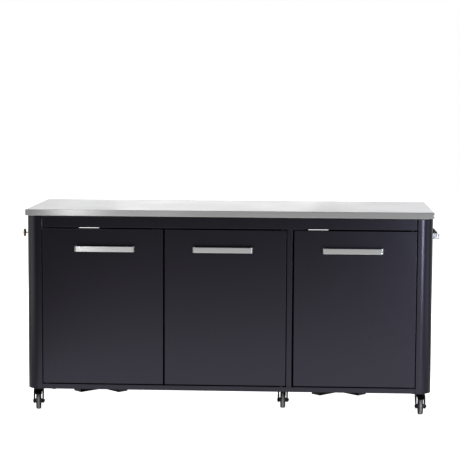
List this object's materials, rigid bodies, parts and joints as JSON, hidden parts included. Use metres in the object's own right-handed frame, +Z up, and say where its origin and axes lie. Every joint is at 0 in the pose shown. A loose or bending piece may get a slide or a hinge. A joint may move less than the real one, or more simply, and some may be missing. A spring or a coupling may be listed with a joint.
{
  "type": "outdoor kitchen unit",
  "caption": "Black steel outdoor kitchen cabinet on swivel casters, with a stainless worktop, hinged doors with bow handles, and sunk cradles for gas bottles.",
  "frame": {"origin": "on the floor, under the middle of the overall outline", "axes": "+X to the right along the front, +Y from the doors to the back, +Z up"},
  "size_m": [1.858, 0.639, 0.9072],
  "materials": {
    "worktop_steel": "brushed stainless sheet",
    "core_board": "sealed board",
    "black_powder_coat": "satin powder coat",
    "handle_steel": "brushed stainless strip",
    "zinc_steel": "zinc plated",
    "caster_steel": "black stove enamel",
    "peg_steel": "blackened steel",
    "magnet_plastic": "moulded",
    "hub_plastic": "moulded",
    "tyre_rubber": "moulded rubber"
  },
  "bodies": {
    "cabinet": {"worktop": "worktop_steel", "worktop_core": "core_board", "side_panel_left": "black_powder_coat", "side_panel_right": "black_powder_coat", "fascia": "black_powder_coat", "bottom_rail": "black_powder_coat", "rear_rail": "black_powder_coat", "floor_pan": "black_powder_coat", "back_panel": "black_powder_coat", "divider_post": "black_powder_coat", "partition": "black_powder_coat", "bottle_cradle_left": "black_powder_coat", "bottle_cradle_right": "black_powder_coat", "pivot_brackets": "zinc_steel", "door_magnets": "magnet_plastic", "side_handle": "handle_steel", "tool_peg": "peg_steel", "caster_plates": "caster_steel", "mounting_screws": "zinc_steel", "back_screws": "zinc_steel"},
    "door_left": {"door_left_skin": "black_powder_coat", "door_left_liner": "black_powder_coat", "door_left_handle": "handle_steel", "door_left_pivot_pins": "zinc_steel", "door_left_strike": "zinc_steel"},
    "door_middle": {"door_middle_skin": "black_powder_coat", "door_middle_liner": "black_powder_coat", "door_middle_handle": "handle_steel", "door_middle_pivot_pins": "zinc_steel", "door_middle_strike": "zinc_steel"},
    "door_right": {"door_right_skin": "black_powder_coat", "door_right_liner": "black_powder_coat", "door_right_handle": "handle_steel", "door_right_pivot_pins": "zinc_steel", "door_right_strike": "zinc_steel"},
    "caster_front_left_swivel": {"caster_front_left_fork": "caster_steel", "caster_front_left_axle": "zinc_steel"},
    "caster_front_left_wheel": {"caster_front_left_hub": "hub_plastic", "caster_front_left_tyre": "tyre_rubber"},
    "caster_front_middle_swivel": {"caster_front_middle_fork": "caster_steel", "caster_front_middle_axle": "zinc_steel"},
    "caster_front_middle_wheel": {"caster_front_middle_hub": "hub_plastic", "caster_front_middle_tyre": "tyre_rubber"},
    "caster_front_right_swivel": {"caster_front_right_fork": "caster_steel", "caster_front_right_axle": "zinc_steel"},
    "caster_front_right_wheel": {"caster_front_right_hub": "hub_plastic", "caster_front_right_tyre": "tyre_rubber"},
    "caster_rear_left_swivel": {"caster_rear_left_fork": "caster_steel", "caster_rear_left_axle": "zinc_steel"},
    "caster_rear_left_wheel": {"caster_rear_left_hub": "hub_plastic", "caster_rear_left_tyre": "tyre_rubber"},
    "caster_rear_middle_swivel": {"caster_rear_middle_fork": "caster_steel", "caster_rear_middle_axle": "zinc_steel"},
    "caster_rear_middle_wheel": {"caster_rear_middle_hub": "hub_plastic", "caster_rear_middle_tyre": "tyre_rubber"},
    "caster_rear_right_swivel": {"caster_rear_right_fork": "caster_steel", "caster_rear_right_axle": "zinc_steel"},
    "caster_rear_right_wheel": {"caster_rear_right_hub": "hub_plastic", "caster_rear_right_tyre": "tyre_rubber"}
  },
  "joints": [
    {"name": "door_left_hinge", "type": "hinge", "parent": "cabinet", "child": "door_left", "pos_m": [-0.8145, -0.2775, 0.1235], "axis": [0, 0, -1], "range_deg": [0, 110]},
    {"name": "door_middle_hinge", "type": "hinge", "parent": "cabinet", "child": "door_middle", "pos_m": [0.2335, -0.2775, 0.1235], "axis": [0, 0, 1], "range_deg": [0, 95]},
    {"name": "door_right_hinge", "type": "hinge", "parent": "cabinet", "child": "door_right", "pos_m": [0.8065, -0.2775, 0.1235], "axis": [0, 0, 1], "range_deg": [0, 110]},
    {"name": "caster_front_left_swivel_joint", "type": "hinge", "parent": "cabinet", "child": "caster_front_left_swivel", "pos_m": [-0.864, -0.2185, 0.0915], "axis": [0, 0, 1], "continuous": true},
    {"name": "caster_front_left_wheel_spin", "type": "hinge", "parent": "caster_front_left_swivel", "child": "caster_front_left_wheel", "pos_m": [-0.8601, -0.24623, 0.0375], "axis": [0.9903, 0.1392, 0], "continuous": true},
    {"name": "caster_front_middle_swivel_joint", "type": "hinge", "parent": "cabinet", "child": "caster_front_middle_swivel", "pos_m": [0.2385, -0.1185, 0.0915], "axis": [0, 0, 1], "continuous": true},
    {"name": "caster_front_middle_wheel_spin", "type": "hinge", "parent": "caster_front_middle_swivel", "child": "caster_front_middle_wheel", "pos_m": [0.2385, -0.1465, 0.0375], "axis": [1, 0, 0], "continuous": true},
    {"name": "caster_front_right_swivel_joint", "type": "hinge", "parent": "cabinet", "child": "caster_front_right_swivel", "pos_m": [0.8525, -0.2185, 0.0915], "axis": [0, 0, 1], "continuous": true},
    {"name": "caster_front_right_wheel_spin", "type": "hinge", "parent": "caster_front_right_swivel", "child": "caster_front_right_wheel", "pos_m": [0.8525, -0.2465, 0.0375], "axis": [1, 0, 0], "continuous": true},
    {"name": "caster_rear_left_swivel_joint", "type": "hinge", "parent": "cabinet", "child": "caster_rear_left_swivel", "pos_m": [-0.864, 0.2355, 0.0915], "axis": [0, 0, 1], "continuous": true},
    {"name": "caster_rear_left_wheel_spin", "type": "hinge", "parent": "caster_rear_left_swivel", "child": "caster_rear_left_wheel", "pos_m": [-0.864, 0.2075, 0.0375], "axis": [1, 0, 0], "continuous": true},
    {"name": "caster_rear_middle_swivel_joint", "type": "hinge", "parent": "cabinet", "child": "caster_rear_middle_swivel", "pos_m": [0.2385, 0.1355, 0.0915], "axis": [0, 0, 1], "continuous": true},
    {"name": "caster_rear_middle_wheel_spin", "type": "hinge", "parent": "caster_rear_middle_swivel", "child": "caster_rear_middle_wheel", "pos_m": [0.2385, 0.1075, 0.0375], "axis": [1, 0, 0], "continuous": true},
    {"name": "caster_rear_right_swivel_joint", "type": "hinge", "parent": "cabinet", "child": "caster_rear_right_swivel", "pos_m": [0.8525, 0.2355, 0.0915], "axis": [0, 0, 1], "continuous": true},
    {"name": "caster_rear_right_wheel_spin", "type": "hinge", "parent": "caster_rear_right_swivel", "child": "caster_rear_right_wheel", "pos_m": [0.8525, 0.2075, 0.0375], "axis": [1, 0, 0], "continuous": true}
  ]
}
